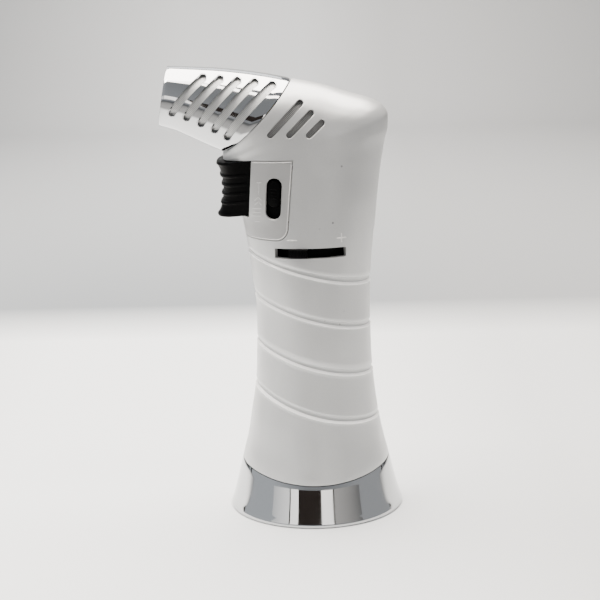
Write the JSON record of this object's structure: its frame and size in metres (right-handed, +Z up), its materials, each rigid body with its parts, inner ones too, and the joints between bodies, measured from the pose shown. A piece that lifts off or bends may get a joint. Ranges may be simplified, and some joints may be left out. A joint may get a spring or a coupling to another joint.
{
  "type": "hand-held gas torch",
  "caption": "Hand-held gas torch with a curved body on a flared foot, a slotted nozzle head, a finger trigger, a lock slider and a flame lever.",
  "frame": {"origin": "middle of the foot on the surface it stands on", "axes": "+Z up, the nozzle points to -X, the lock slider and the flame lever are on the -Y side"},
  "size_m": [0.0885, 0.066, 0.169],
  "materials": {
    "silver_body": "satin silver",
    "grey_panel": "satin grey",
    "chrome": "polished",
    "light_mesh": "fine mesh",
    "dark_mesh": "fine mesh",
    "black_plastic": "moulded",
    "rubber": "matte",
    "steel": "bright",
    "brass": "turned",
    "tank_plastic": "milky",
    "natural_plastic": "moulded",
    "ceramic": "glazed ceramic",
    "wire_jacket": "insulated wire"
  },
  "bodies": {
    "body": {"left_shell": "silver_body", "right_shell": "silver_body", "nozzle_shroud": "chrome", "shroud_screen": "light_mesh", "vent_screen_left": "dark_mesh", "vent_screen_right": "dark_mesh", "base_ring": "chrome", "base_plate": "black_plastic", "foot_pad": "rubber", "base_screw_1": "steel", "base_screw_2": "steel", "base_screw_3": "steel", "shell_screw_1": "steel", "shell_screw_2": "steel", "shell_screw_3": "steel", "trigger_housing": "grey_panel", "fuel_tank": "tank_plastic", "tank_lid": "tank_plastic", "tank_seal": "rubber", "fill_valve_body": "brass", "fill_valve_spring": "steel", "outlet_valve_body": "brass", "valve_spring": "steel", "inner_frame": "natural_plastic", "rocker_pin": "steel", "piezo_body": "black_plastic", "trigger_spring": "steel", "ignition_wire": "wire_jacket", "electrode": "steel", "electrode_insulator": "ceramic", "gas_hose": "rubber", "gas_jet": "brass", "burner_tube": "steel", "flame_holder": "steel"},
    "trigger": {"trigger": "black_plastic", "piezo_plunger": "natural_plastic"},
    "rocker": {"rocker_lever": "steel"},
    "stem": {"valve_stem": "brass"},
    "lock": {"lock_slider": "black_plastic"},
    "flame_lever": {"flame_adjuster": "black_plastic"},
    "fill_stem": {"fill_valve_stem": "brass"}
  },
  "joints": [
    {"name": "trigger_press", "type": "slide", "parent": "body", "child": "trigger", "axis": [0.9962, 0, 0.0872], "range_m": [0, 0.0045], "stiffness_N_per_m": 900, "springref_m": -0.003, "deforming": ["trigger_spring"]},
    {"name": "rocker_tilt", "type": "hinge", "parent": "body", "child": "rocker", "pos_m": [0.0105, 0, 0.1088], "axis": [0, 1, 0], "range_deg": [-0.5, 5.5]},
    {"name": "valve_lift", "type": "slide", "parent": "body", "child": "stem", "axis": [0, 0, 1], "range_m": [-0.0001, 0.0013], "deforming": ["valve_spring"]},
    {"name": "lock_slide", "type": "slide", "parent": "body", "child": "lock", "axis": [-0.0593, 0, -0.9982], "range_m": [0, 0.0042]},
    {"name": "flame_turn", "type": "hinge", "parent": "body", "child": "flame_lever", "pos_m": [-0.0005, 0, 0.1016], "axis": [0, 0, 1], "range_deg": [-14, 38]},
    {"name": "fill_press", "type": "slide", "parent": "body", "child": "fill_stem", "axis": [0, 0, 1], "range_m": [0, 0.0014], "stiffness_N_per_m": 400, "springref_m": -0.002, "deforming": ["fill_valve_spring"]}
  ],
  "couplings": [
    {"joint": "rocker_tilt", "follows": "trigger_press", "rad_per_m": 19.2},
    {"joint": "valve_lift", "follows": "trigger_press", "ratio": 0.24}
  ]
}
